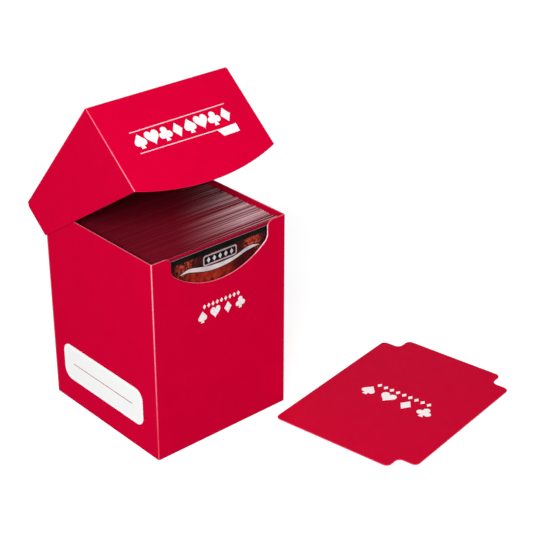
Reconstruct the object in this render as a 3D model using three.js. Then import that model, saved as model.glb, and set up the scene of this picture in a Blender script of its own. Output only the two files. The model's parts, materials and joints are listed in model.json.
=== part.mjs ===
// A folding card deck box made from one sheet of polypropylene, shown with its lid half open, the deck of
// sleeved cards that it holds and the loose card divider that comes with it.
//
// Millimetres, +Z up. The origin is the middle of the case's underside. The front panel, with the thumb
// notch, faces -Y, and the lid turns about a living hinge that runs along X at the top of the back panel.
import * as THREE from "three";

// Driving dimensions.
const SHEET = 0.6; // thickness of the polypropylene sheet
const CASE_WIDTH = 74.5;
const CASE_DEPTH = 77.9;
const CASE_HEIGHT = 97;
const HINGE_HEIGHT = 82.2; // the fold that the lid turns on, above the table
const LID_OPEN = 49.9; // degrees from closed
const LID_SLACK = 0.15; // between the case's sides and the lid's
const SWING_SLACK = 0.06; // between the front rim and the lid's front flap as it swings past
const LID_BACK_HEIGHT = 17.6;
const LID_SIDE_HEIGHT = 41.6; // at the lid's front corners
const LID_FRONT_HEIGHT = 48; // at the middle of the lid's front flap
const SEAM = 0.05; // what glued or folded neighbours keep between their solids
const NOTCH_HALF_WIDTH = 26.9;
const NOTCH_LOWEST = 78.15;
const NOTCH_ARC_RADIUS = 39.4;
const NOTCH_FILLET = 4.5;
const NOTCH_RIM_RADIUS = 3;
const SLEEVE_WIDTH = 69;
const SLEEVE_TOP = 94.5; // above the table
const SLEEVE_THICKNESS = 0.72; // one sleeved card
const DECK_SIDE_PLAY = 0.25; // the deck leans on the right wall
const BUNDLES = 11;
const CARDS_PER_BUNDLE = 9;
const DIVIDER_LENGTH = 96.6;
const DIVIDER_WIDTH = 72.4;
const DIVIDER_THICKNESS = 0.5;
const DIVIDER_CORNER = [23.9, -47.5]; // its whole corner, which lies nearest the box
const DIVIDER_TURN = 9.9; // degrees from +X

// Places that follow from them.
const HALF_WIDTH = CASE_WIDTH / 2;
const HALF_DEPTH = CASE_DEPTH / 2;
const INNER_HALF_WIDTH = HALF_WIDTH - SHEET;
const INNER_HALF_DEPTH = HALF_DEPTH - SHEET;
const FLOOR = 2 * SHEET; // the bottom panel and the flaps folded over it
const LID_INNER_HALF_WIDTH = HALF_WIDTH + LID_SLACK;
const LID_HALF_WIDTH = LID_INNER_HALF_WIDTH + SHEET;
const LID_INNER_DEPTH = Math.hypot(CASE_DEPTH, CASE_HEIGHT - HINGE_HEIGHT) + SWING_SLACK;
const LID_DEPTH = LID_INNER_DEPTH + SHEET;
const LID_CEILING = LID_BACK_HEIGHT - SHEET;

const CORNER_STEPS = 6;
const ARC_STEPS = 20;
const UNIT_X = new THREE.Vector3(1, 0, 0);
const UNIT_Y = new THREE.Vector3(0, 1, 0);
const UNIT_Z = new THREE.Vector3(0, 0, 1);

const casePlastic = plastic(0xc80031, 0.55);
const lidPlastic = plastic(0xdc0034, 0.55);
const dividerPlastic = plastic(0xc4002d, 0.5);
const labelPaper = plastic(0xf2f2f2, 0.8);
const sleeveFilm = plastic(0x6a1420, 0.4);
const cardFace = plastic(0x5a1a14, 0.45);

function plastic(color, roughness) {
  return new THREE.MeshStandardMaterial({ color, roughness, metalness: 0 });
}

// The points of an arc about (x, y), from one angle to another in radians.
function arcPoints(x, y, radius, from, to, steps) {
  const points = [];
  for (let i = 0; i <= steps; i++) {
    const angle = from + ((to - from) * i) / steps;
    points.push([x + radius * Math.cos(angle), y + radius * Math.sin(angle)]);
  }
  return points;
}

// The points that round the corner at `here`, which lies between `before` and `after`.
function roundedCorner(before, here, after, radius) {
  const toBefore = before.clone().sub(here).normalize();
  const toAfter = after.clone().sub(here).normalize();
  const halfAngle = Math.acos(toBefore.dot(toAfter)) / 2;
  const inward = toBefore.clone().add(toAfter).normalize();
  const centre = here.clone().addScaledVector(inward, radius / Math.sin(halfAngle));
  const start = here.clone().addScaledVector(toBefore, radius / Math.tan(halfAngle)).sub(centre);
  const sweep = (Math.PI - 2 * halfAngle) * Math.sign(-toBefore.cross(toAfter));
  return arcPoints(centre.x, centre.y, radius, start.angle(), start.angle() + sweep, CORNER_STEPS);
}

// A closed outline through corners, each [x, y] or, where it is rounded, [x, y, radius].
function outline(corners) {
  const points = corners.flatMap(([x, y, radius = 0], i) => {
    if (radius === 0) return [[x, y]];
    const before = corners.at(i - 1);
    const after = corners[(i + 1) % corners.length];
    return roundedCorner(
      new THREE.Vector2(before[0], before[1]),
      new THREE.Vector2(x, y),
      new THREE.Vector2(after[0], after[1]),
      radius,
    );
  });
  return new THREE.Shape(points.map(([x, y]) => new THREE.Vector2(x, y)));
}

function rectangle(x0, y0, x1, y1, radius = 0) {
  return outline([
    [x0, y0, radius],
    [x1, y0, radius],
    [x1, y1, radius],
    [x0, y1, radius],
  ]);
}

function mirrored(corners) {
  return corners.map(([x, ...rest]) => [-x, ...rest]).reverse();
}

function sheet(name, shape, thickness, axes, place, material) {
  const geometry = new THREE.ExtrudeGeometry(shape, { depth: thickness, bevelEnabled: false });
  geometry.applyMatrix4(new THREE.Matrix4().makeBasis(...axes));
  const mesh = new THREE.Mesh(geometry, material);
  mesh.name = name;
  mesh.position.copy(place);
  return mesh;
}

// A level sheet: the outline is in X and Y, and it fills z to z + thickness.
function levelSheet(name, shape, z, thickness, material) {
  return sheet(name, shape, thickness, [UNIT_X, UNIT_Y, UNIT_Z], new THREE.Vector3(0, 0, z), material);
}

// A sheet that faces front and back: the outline is in X and Z, and it fills y to y + thickness.
function facingSheet(name, shape, y, thickness, material) {
  const axes = [UNIT_X, UNIT_Z, UNIT_Y.clone().negate()];
  return sheet(name, shape, thickness, axes, new THREE.Vector3(0, y + thickness, 0), material);
}

// A sheet that faces left and right: the outline is in Y and Z, and it fills x to x + thickness.
function sideSheet(name, shape, x, thickness, material) {
  return sheet(name, shape, thickness, [UNIT_Y, UNIT_Z, UNIT_X], new THREE.Vector3(x, 0, 0), material);
}

// The right half of the thumb notch, from the rim down to the middle of the bottom arc.
function rightHalfOfNotch() {
  const arcCentre = NOTCH_LOWEST + NOTCH_ARC_RADIUS;
  const filletX = NOTCH_HALF_WIDTH - NOTCH_FILLET;
  const reach = NOTCH_ARC_RADIUS - NOTCH_FILLET;
  const filletZ = arcCentre - Math.sqrt(reach ** 2 - filletX ** 2);
  const meeting = Math.atan2(filletZ - arcCentre, filletX);
  const rimX = NOTCH_HALF_WIDTH + NOTCH_RIM_RADIUS;
  const rimZ = CASE_HEIGHT - NOTCH_RIM_RADIUS;
  return [
    ...arcPoints(rimX, rimZ, NOTCH_RIM_RADIUS, Math.PI / 2, Math.PI, CORNER_STEPS),
    ...arcPoints(filletX, filletZ, NOTCH_FILLET, 0, meeting, CORNER_STEPS),
    ...arcPoints(0, arcCentre, NOTCH_ARC_RADIUS, meeting, -Math.PI / 2, ARC_STEPS / 2).slice(1),
  ];
}

function frontPanel() {
  const rightHalf = [[HALF_WIDTH, SHEET], [HALF_WIDTH, CASE_HEIGHT], ...rightHalfOfNotch()];
  const leftHalf = mirrored(rightHalf).slice(1);
  return facingSheet("front_panel", outline([...rightHalf, ...leftHalf]), -HALF_DEPTH, SHEET, casePlastic);
}

function sidePanel(name, x) {
  const shape = rectangle(-INNER_HALF_DEPTH, SHEET, INNER_HALF_DEPTH - 2 * SEAM, CASE_HEIGHT);
  return sideSheet(name, shape, x, SHEET, casePlastic);
}

// The lid is scored out of the back panel: a thinner web of the same sheet is its living hinge.
function backPanelAndWeb() {
  const webHeight = SHEET / 2;
  const panel = rectangle(-HALF_WIDTH, SHEET, HALF_WIDTH, HINGE_HEIGHT - webHeight);
  const web = rectangle(-HALF_WIDTH, HINGE_HEIGHT - webHeight, HALF_WIDTH, HINGE_HEIGHT);
  return [
    facingSheet("back_panel", panel, INNER_HALF_DEPTH, SHEET, casePlastic),
    facingSheet("lid_hinge_web", web, HALF_DEPTH - SHEET / 2, SHEET / 2, casePlastic),
  ];
}

// A second layer inside the back panel closes the case up to the rim, behind the lid's back strip.
function innerBackPanel() {
  const halfWidth = INNER_HALF_WIDTH - SEAM;
  const shape = rectangle(-halfWidth, FLOOR + 2 * SEAM, halfWidth, CASE_HEIGHT);
  const y = INNER_HALF_DEPTH - 2 * SEAM - SHEET;
  return facingSheet("inner_back_panel", shape, y, SHEET, casePlastic);
}

function bottomSheets() {
  const flapInner = 14.7; // from the middle to the side flaps' inner edges
  const flapTaper = 4;
  const flapDepth = INNER_HALF_DEPTH - 2 * SEAM;
  const rightFlap = [
    [INNER_HALF_WIDTH, flapDepth],
    [flapInner, flapDepth - flapTaper, 2],
    [flapInner, flapTaper - flapDepth, 2],
    [INNER_HALF_WIDTH, -flapDepth],
  ];
  const glueFlapHalfWidth = 14.2;
  const glueFlap = outline([
    [glueFlapHalfWidth, flapDepth],
    [-glueFlapHalfWidth, flapDepth],
    [-glueFlapHalfWidth, 10, 3],
    [glueFlapHalfWidth, 10, 3],
  ]);
  const bottom = rectangle(-HALF_WIDTH, -HALF_DEPTH, HALF_WIDTH, HALF_DEPTH);
  return [
    levelSheet("bottom_panel", bottom, 0, SHEET, casePlastic),
    levelSheet("bottom_left_flap", outline(mirrored(rightFlap)), SHEET, SHEET, casePlastic),
    levelSheet("bottom_right_flap", outline(rightFlap), SHEET, SHEET, casePlastic),
    levelSheet("bottom_glue_flap", glueFlap, SHEET, SHEET, casePlastic),
  ];
}

function writeOnLabel() {
  const thickness = 0.1;
  const length = 59.9;
  const height = 18.6;
  const middle = { y: 1.3, z: 21.4 };
  const y0 = middle.y - length / 2;
  const z0 = middle.z - height / 2;
  const shape = rectangle(y0, z0, y0 + length, z0 + height, 5);
  return sideSheet("write_on_label", shape, -HALF_WIDTH - thickness, thickness, labelPaper);
}

// The lid's pieces are drawn closed, from the hinge line: y runs back from it and z up.
function lidFrontFlap() {
  const cornerRadius = 1.2;
  const top = LID_CEILING - SEAM;
  const side = LID_BACK_HEIGHT - LID_SIDE_HEIGHT;
  const bulge = LID_FRONT_HEIGHT - LID_SIDE_HEIGHT;
  const radius = (LID_HALF_WIDTH ** 2 + bulge ** 2) / (2 * bulge);
  const halfAngle = Math.asin(LID_HALF_WIDTH / radius);
  const down = -Math.PI / 2;
  const arc = arcPoints(0, side - bulge + radius, radius, down + halfAngle, down - halfAngle, ARC_STEPS);
  const first = [...arc[0], cornerRadius];
  const last = [...arc.at(-1), cornerRadius];
  const bottom = [first, ...arc.slice(2, -2), last];
  const shape = outline([[-LID_HALF_WIDTH, top], [LID_HALF_WIDTH, top], ...bottom]);
  return facingSheet("lid_front_flap", shape, -LID_DEPTH, SHEET, lidPlastic);
}

// The lid's side is folded back from its front flap. Its back corner is free and rounded.
function lidSide(name, x) {
  const freeCornerRadius = 3;
  const front = -LID_INNER_DEPTH + SEAM;
  const slope = (LID_SIDE_HEIGHT - LID_BACK_HEIGHT) / LID_DEPTH;
  const top = LID_CEILING - SEAM;
  const shape = outline([
    [0, 0],
    [0, top, freeCornerRadius],
    [front, top],
    [front, front * slope],
  ]);
  return sideSheet(name, shape, x, SHEET, lidPlastic);
}

// The tab at the top of each side is glued under the top panel.
function lidTopTabs() {
  const outerX = LID_INNER_HALF_WIDTH - SEAM;
  const innerX = 24;
  const taper = 5;
  const back = -6;
  const front = back + 2 * taper - LID_INNER_DEPTH;
  const rightTab = [
    [outerX, back],
    [innerX, back - taper, 2],
    [innerX, front + taper, 2],
    [outerX, front],
  ];
  const z = LID_CEILING - SEAM - SHEET;
  return [
    levelSheet("lid_left_top_tab", outline(mirrored(rightTab)), z, SHEET, lidPlastic),
    levelSheet("lid_right_top_tab", outline(rightTab), z, SHEET, lidPlastic),
  ];
}

function lid() {
  const group = new THREE.Group();
  const top = rectangle(-LID_HALF_WIDTH, -LID_DEPTH, LID_HALF_WIDTH, 0);
  const backHalfWidth = LID_INNER_HALF_WIDTH - SEAM;
  const back = rectangle(-backHalfWidth, SEAM, backHalfWidth, LID_CEILING - SEAM);
  group.add(
    levelSheet("lid_top_panel", top, LID_CEILING, SHEET, lidPlastic),
    facingSheet("lid_back_strip", back, -SHEET, SHEET, lidPlastic),
    lidFrontFlap(),
    lidSide("lid_left_side", -LID_HALF_WIDTH),
    lidSide("lid_right_side", LID_INNER_HALF_WIDTH),
    ...lidTopTabs(),
  );
  group.position.set(0, HALF_DEPTH, HINGE_HEIGHT);
  group.rotation.x = -THREE.MathUtils.degToRad(LID_OPEN);
  return group;
}

// The deck stands on the flaps: one card faces the notch, and the rest stand behind it in bundles.
function deck() {
  const group = new THREE.Group();
  const right = INNER_HALF_WIDTH - DECK_SIDE_PLAY;
  const cardOutline = rectangle(right - SLEEVE_WIDTH, FLOOR + SEAM, right, SLEEVE_TOP);
  const bundleDepth = CARDS_PER_BUNDLE * SLEEVE_THICKNESS;
  const frontY = -INNER_HALF_DEPTH + DECK_SIDE_PLAY / 2;
  group.add(facingSheet("front_card", cardOutline, frontY, SLEEVE_THICKNESS, cardFace));
  for (let i = 0; i < BUNDLES; i++) {
    const y = frontY + SLEEVE_THICKNESS + SEAM + i * (bundleDepth + SEAM);
    const name = "sleeved_cards_" + String(i + 1).padStart(2, "0");
    group.add(facingSheet(name, cardOutline, y, bundleDepth, sleeveFilm));
  }
  return group;
}

// The divider is a card-sized sheet with tabs on two of its sides, so three of its corners are cut out.
function cardDivider() {
  const tabLength = 8.3;
  const tabWidth = 9.5;
  const round = 1.6;
  const bodyLength = DIVIDER_LENGTH - tabLength;
  const bodyWidth = DIVIDER_WIDTH - tabWidth;
  const shape = outline([
    [0, 0, round],
    [0, -bodyWidth, round],
    [tabLength, -bodyWidth, round],
    [tabLength, -DIVIDER_WIDTH, round],
    [bodyLength, -DIVIDER_WIDTH, round],
    [bodyLength, -bodyWidth, round],
    [DIVIDER_LENGTH, -bodyWidth, round],
    [DIVIDER_LENGTH, -tabWidth, round],
    [bodyLength, -tabWidth, round],
    [bodyLength, 0, round],
  ]);
  const mesh = levelSheet("card_divider", shape, 0, DIVIDER_THICKNESS, dividerPlastic);
  mesh.position.set(...DIVIDER_CORNER, 0);
  mesh.rotation.z = THREE.MathUtils.degToRad(DIVIDER_TURN);
  return mesh;
}

const deckBox = new THREE.Group();
deckBox.add(
  frontPanel(),
  sidePanel("left_side_panel", -HALF_WIDTH),
  sidePanel("right_side_panel", INNER_HALF_WIDTH),
  ...backPanelAndWeb(),
  innerBackPanel(),
  ...bottomSheets(),
  writeOnLabel(),
  lid(),
  deck(),
  cardDivider(),
);

export default deckBox;
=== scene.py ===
"""The looks of a folding card deck box: red plastic sheet, sleeved cards and a card divider.

Sizes in the classes are millimetres in the frame's own axes. A mesh is scaled when it is made.
"""
import json
import logging
import math
from dataclasses import dataclass
from enum import Enum
from typing import Callable, Sequence

import bmesh
import bpy
from mathutils import Matrix, Vector
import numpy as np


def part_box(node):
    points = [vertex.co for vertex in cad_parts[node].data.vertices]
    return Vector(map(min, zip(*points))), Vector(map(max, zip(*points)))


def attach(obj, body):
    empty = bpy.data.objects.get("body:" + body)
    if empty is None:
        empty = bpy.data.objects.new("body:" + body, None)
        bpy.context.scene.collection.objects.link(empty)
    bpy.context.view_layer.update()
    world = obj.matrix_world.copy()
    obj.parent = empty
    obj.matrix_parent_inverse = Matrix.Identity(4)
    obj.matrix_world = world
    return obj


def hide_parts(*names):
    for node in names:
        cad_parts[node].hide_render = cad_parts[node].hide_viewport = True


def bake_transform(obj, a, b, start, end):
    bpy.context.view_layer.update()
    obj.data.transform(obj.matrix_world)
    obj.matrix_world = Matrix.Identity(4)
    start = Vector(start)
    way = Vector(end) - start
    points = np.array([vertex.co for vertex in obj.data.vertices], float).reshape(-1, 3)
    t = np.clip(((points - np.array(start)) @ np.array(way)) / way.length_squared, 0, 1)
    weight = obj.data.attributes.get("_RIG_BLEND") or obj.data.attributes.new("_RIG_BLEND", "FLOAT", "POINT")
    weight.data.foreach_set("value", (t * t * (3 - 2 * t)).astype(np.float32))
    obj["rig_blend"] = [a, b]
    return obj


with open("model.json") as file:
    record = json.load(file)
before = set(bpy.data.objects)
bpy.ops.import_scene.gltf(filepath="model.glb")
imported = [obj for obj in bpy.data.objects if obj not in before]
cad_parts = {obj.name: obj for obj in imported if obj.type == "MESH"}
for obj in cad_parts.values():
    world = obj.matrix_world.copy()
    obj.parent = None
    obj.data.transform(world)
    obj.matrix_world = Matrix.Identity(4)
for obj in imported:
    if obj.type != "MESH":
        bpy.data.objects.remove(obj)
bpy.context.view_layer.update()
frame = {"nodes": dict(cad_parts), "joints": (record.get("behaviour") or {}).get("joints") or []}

log = logging.getLogger("deck_box")

Point = tuple[float, float]
Colour = tuple[float, float, float, float]
Place = Callable[[float, float, float], Vector]
METRES = 0.001
CUT_LAYER = "cut"
# how white a fold is: stress whitening with a painted highlight
CREASE_LAYER = "crease"
# marks a sheet's inner side, which the sheet finishes paint darker as shade
INSIDE_LAYER = "inside"
FOLD_STEPS = 6
FOLD_MARGIN = 0.12  # a sheet also has an edge this far to each side of a fold
SHARP_ANGLE = math.radians(50)


def srgb(red: int, green: int, blue: int) -> Colour:
    """Turns a display colour into the linear one that shaders use.

    Args:
        red: red channel, 0 to 255.
        green: green channel, 0 to 255.
        blue: blue channel, 0 to 255.

    Returns:
        The linear colour, with full alpha.
    """
    def linear(channel: int) -> float:
        """One channel, made linear."""
        c = channel / 255
        return c / 12.92 if c <= 0.04045 else ((c + 0.055) / 1.055) ** 2.4

    return (linear(red), linear(green), linear(blue), 1.0)


# ---------------------------------------------------------------- outlines


def arc(x: float, y: float, radius: float, start: float, end: float, steps: int) -> list[Point]:
    """Points along an arc.

    Args:
        x: centre, across.
        y: centre, up.
        radius: radius of the arc.
        start: first angle in radians.
        end: last angle in radians.
        steps: number of chords.

    Returns:
        steps + 1 points.
    """
    angles = [start + (end - start) * i / steps for i in range(steps + 1)]
    return [(x + radius * math.cos(a), y + radius * math.sin(a)) for a in angles]


def rounded(corners: Sequence[tuple[float, float, float]], steps: int = 6) -> list[Point]:
    """Rounds the corners of an outline.

    Args:
        corners: x, y and corner radius of each corner, in order.
        steps: chords in each rounded corner.

    Returns:
        The outline's points, in the same order.
    """
    points: list[Point] = []
    for i, (x, y, radius) in enumerate(corners):
        if radius == 0:
            points.append((x, y))
            continue
        here = Vector((x, y))
        before = (Vector(corners[i - 1][:2]) - here).normalized()
        after = (Vector(corners[(i + 1) % len(corners)][:2]) - here).normalized()
        half = math.acos(max(-1.0, min(1.0, before.dot(after)))) / 2
        centre = here + (before + after).normalized() * (radius / math.sin(half))
        first = here + before * (radius / math.tan(half)) - centre
        start = math.atan2(first.y, first.x)
        cross = before.x * after.y - before.y * after.x
        sweep = math.copysign(math.pi - 2 * half, -cross)
        points += arc(centre.x, centre.y, radius, start, start + sweep, steps)
    return points


def rectangle(x0: float, y0: float, x1: float, y1: float, radius: float = 0.0) -> list[Point]:
    """An upright rectangle, anticlockwise, with rounded corners.

    Args:
        x0: left side.
        y0: bottom side.
        x1: right side.
        y1: top side.
        radius: corner radius.

    Returns:
        The outline's points.
    """
    return rounded([(x0, y0, radius), (x1, y0, radius), (x1, y1, radius), (x0, y1, radius)])


def mirrored(points: Sequence[Point]) -> list[Point]:
    """The outline mirrored left to right, in the same winding."""
    return [(-x, y) for x, y in reversed(points)]


def smooth(stations: Sequence[tuple[float, float, float]], steps: int
           ) -> list[tuple[float, float, float]]:
    """A smooth curve through stations.

    Args:
        stations: three values at each.
        steps: points from one station to the next.

    Returns:
        The stations with the points between them.
    """
    ends = [stations[0], *stations, stations[-1]]
    found = []
    for i in range(len(stations) - 1):
        a, b, c, d = (Vector(station) for station in ends[i:i + 4])
        for k in range(steps):
            t = k / steps
            point = (2 * b + (c - a) * t + (2 * a - 5 * b + 4 * c - d) * t * t
                     + (3 * b - a - 3 * c + d) * t ** 3) / 2
            found.append(tuple(point))
    return found + [stations[-1]]


def inset(points: Sequence[Point], distance: float) -> list[Point]:
    """Moves an anticlockwise outline inwards.

    Args:
        points: the outline.
        distance: how far every side moves in.

    Returns:
        The smaller outline, with the same number of points.
    """
    moved: list[Point] = []
    for i, (x, y) in enumerate(points):
        x0, y0 = points[i - 1]
        x1, y1 = points[(i + 1) % len(points)]
        first = Vector((y0 - y, x - x0)).normalized()
        second = Vector((y - y1, x1 - x)).normalized()
        reach = distance / max(0.2, 1 + first.dot(second))
        moved.append((x + (first.x + second.x) * reach, y + (first.y + second.y) * reach))
    return moved


# ---------------------------------------------------------------- sheets and folds


class FoldPath:
    """A path of straight runs joined by rounded right-angled folds, for a sheet to be bent along."""

    def __init__(self, start: Point, heading: Point, runs: Sequence[float], turn: int,
                 radius: float) -> None:
        """Lays the path out.

        Args:
            start: first point of the sheet's middle surface.
            heading: unit direction of the first run.
            runs: lengths of the runs, from corner to corner.
            turn: 1 if it folds to the left, -1 if to the right. The outside is on the other side.
            radius: radius of the folds at the middle surface.
        """
        self.turn = turn
        self.radius = radius
        self.spans: list[tuple[float, float, Vector, Vector, bool]] = []
        at, along, position = Vector(start), Vector(heading), 0.0
        for i, run in enumerate(runs):
            length = run - radius * ((i > 0) + (i < len(runs) - 1))
            self.spans.append((position, position + length, at.copy(), along.copy(), False))
            at += along * length
            position += length
            if i < len(runs) - 1:
                bend = radius * math.pi / 2
                self.spans.append((position, position + bend, at.copy(), along.copy(), True))
                turned = Vector((-along.y, along.x)) * turn
                at += (along + turned) * radius
                along = turned
                position += bend
        self.length = position

    def outward(self, along: Vector) -> Vector:
        """The outside's direction beside a run that heads along."""
        return Vector((along.y, -along.x)) * self.turn

    def place(self, u: float, w: float) -> Vector:
        """Bends one point of the sheet.

        Args:
            u: distance along the middle surface.
            w: distance outwards from it.

        Returns:
            The point in the path's plane.
        """
        for start, end, at, along, bent in self.spans:
            if u <= end or end == self.length:
                out = self.outward(along)
                if not bent:
                    return at + along * (u - start) + out * w
                angle = (u - start) / self.radius
                centre = at - out * self.radius
                spoke = out * math.cos(angle) + along * math.sin(angle)
                return centre + spoke * (self.radius + w)
        raise ValueError("the path has no runs")

    def bends(self) -> list[tuple[float, float]]:
        """Where each fold starts and ends along the path."""
        return [(start, end) for start, end, _, _, bent in self.spans if bent]

    def lines(self) -> list[float]:
        """Where a sheet needs an edge so that it can follow the path."""
        found: list[float] = []
        for start, end in self.bends():
            found += [start + (end - start) * i / FOLD_STEPS for i in range(FOLD_STEPS + 1)]
            found += [start - FOLD_MARGIN, end + FOLD_MARGIN]
        return sorted(found)

    def crease(self, u: float) -> float:
        """How near a point is to the middle of a fold, from 0 to 1."""
        near = 0.0
        for start, end in self.bends():
            near = max(near, 1 - abs(u - (start + end) / 2) / ((end - start) / 2))
        return max(0.0, near)


class Edge(Enum):
    """How a sheet's cut edge is finished."""

    SHARP = 0.0
    FINE = 0.03
    SOFT = 0.14


def plate(points: Sequence[Point], thickness: float, edge: Edge = Edge.SOFT) -> bmesh.types.BMesh:
    """A flat closed sheet, level, with its middle surface at zero.

    Args:
        points: its anticlockwise outline.
        thickness: its thickness.
        edge: the rounding of its cut edges.

    Returns:
        The mesh, with the cut edges and the lower side marked in vertex layers.
    """
    half, soft = thickness / 2, edge.value
    if edge is Edge.SHARP:
        upper = [(0.0, half, 0.0)]
    else:
        angles = [math.radians(a) for a in (90, 45, 0)]
        upper = [(soft + 0.1, half, 0.0)]
        upper += [(soft * (1 - math.cos(a)), half - soft * (1 - math.sin(a)), float(a < 1.5))
                  for a in angles]
    rings = upper + [(gap, -level, cut) for gap, level, cut in reversed(upper)]
    bm = bmesh.new()
    for name in (INSIDE_LAYER, CUT_LAYER, CREASE_LAYER):
        bm.verts.layers.float.new(name)
    inside, layer = bm.verts.layers.float[INSIDE_LAYER], bm.verts.layers.float[CUT_LAYER]
    loops: list[list[bmesh.types.BMVert]] = []
    for gap, level, cut in rings:
        loop = [bm.verts.new((x, y, level)) for x, y in (inset(points, gap) if gap else points)]
        for vert in loop:
            vert[layer] = cut
            vert[inside] = float(level < 0)
        loops.append(loop)
    for above, below in zip(loops, loops[1:]):
        for i in range(len(above)):
            j = (i + 1) % len(above)
            bm.faces.new((above[i], below[i], below[j], above[j]))
    caps = [bm.faces.new(loops[0]), bm.faces.new(list(reversed(loops[-1])))]
    bm.normal_update()
    bmesh.ops.triangulate(bm, faces=caps, ngon_method="EAR_CLIP")
    return bm


def split(bm: bmesh.types.BMesh, lines: Sequence[float], axis: int) -> None:
    """Cuts edges into a flat sheet where it will be bent.

    Args:
        bm: the sheet.
        lines: where to cut.
        axis: 0 for cuts across x, 1 for cuts across y.
    """
    normal = Vector((1, 0, 0)) if axis == 0 else Vector((0, 1, 0))
    for line in lines:
        everything = bm.verts[:] + bm.edges[:] + bm.faces[:]
        bmesh.ops.bisect_plane(bm, geom=everything, dist=1e-5, plane_co=normal * line,
                               plane_no=normal)


def bend(bm: bmesh.types.BMesh, place: Place, crease: Callable[[float, float], float]) -> None:
    """Moves a flat sheet's points to where the folded sheet has them.

    Args:
        bm: the flat sheet.
        place: from a flat point to a folded one.
        crease: how creased the sheet is at a flat point, from 0 to 1.
    """
    layer = bm.verts.layers.float[CREASE_LAYER]
    for vert in bm.verts:
        u, v, w = vert.co
        vert[layer] = crease(u, v)
        vert.co = place(u, v, w)


def merged(parts: Sequence[bmesh.types.BMesh]) -> bmesh.types.BMesh:
    """Puts several meshes into one, and frees them."""
    whole = bmesh.new()
    for part in parts:
        mesh = bpy.data.meshes.new("part")
        part.to_mesh(mesh)
        part.free()
        whole.from_mesh(mesh)
        bpy.data.meshes.remove(mesh)
    return whole


def upright(y: float, z: float = 0.0) -> Matrix:
    """From a drawing with x across and y up, to an upright sheet whose middle is at y."""
    return Matrix.Translation((0, y, z)) @ Matrix.Rotation(math.pi / 2, 4, "X")


def make_piece(name: str, bm: bmesh.types.BMesh, material: bpy.types.Material,
               matrix: Matrix | None = None) -> bpy.types.Object:
    """Makes an object of a finished mesh.

    Args:
        name: the piece's name.
        bm: its mesh in millimetres, which is freed.
        material: its finish.
        matrix: where a mesh that was drawn elsewhere goes, in millimetres.

    Returns:
        The object, at the origin, with its place in its mesh.
    """
    if matrix is not None:
        bm.transform(matrix)
    bm.transform(Matrix.Scale(METRES, 4))
    for face in bm.faces:
        face.smooth = True
    mesh = bpy.data.meshes.new(name)
    bm.to_mesh(mesh)
    bm.free()
    mesh.set_sharp_from_angle(angle=SHARP_ANGLE)
    mesh.materials.append(material)
    piece = bpy.data.objects.new(name, mesh)
    bpy.context.scene.collection.objects.link(piece)
    log.info("%s: %d faces", name, len(mesh.polygons))
    return piece


def hand_over(piece: bpy.types.Object, body: str, slot: str, replaces: Sequence[str] = ()) -> None:
    """Puts a piece on the body it moves with, and hides the CAD nodes that it stands for.

    Args:
        piece: the finished piece.
        body: the body it moves with.
        slot: the record's material slot. Not used.
        replaces: the CAD nodes it stands for.
    """
    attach(piece, body)
    if replaces:
        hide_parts(*replaces)


# ---------------------------------------------------------------- finishes


class Nodes:
    """A node tree, with short calls to build it."""

    def __init__(self, tree: bpy.types.NodeTree) -> None:
        """Takes the tree to build in."""
        self.tree = tree

    def feed(self, socket: bpy.types.NodeSocket, value: object) -> None:
        """Links a socket, or sets its value."""
        if isinstance(value, bpy.types.NodeSocket):
            self.tree.links.new(value, socket)
        else:
            socket.default_value = value

    def add(self, kind: str, inputs: dict[str | int, object] | None = None,
            **settings: object) -> bpy.types.Node:
        """Adds a node.

        Args:
            kind: the node's type name.
            inputs: values or sockets for its inputs, by name or number.
            **settings: its own properties.

        Returns:
            The node.
        """
        node = self.tree.nodes.new(kind)
        for key, value in settings.items():
            setattr(node, key, value)
        for key, value in (inputs or {}).items():
            self.feed(node.inputs[key], value)
        return node

    def maths(self, operation: str, first: object, second: object = 0.0) -> bpy.types.NodeSocket:
        """The result of a maths node."""
        return self.add("ShaderNodeMath", {0: first, 1: second}, operation=operation).outputs[0]


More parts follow.
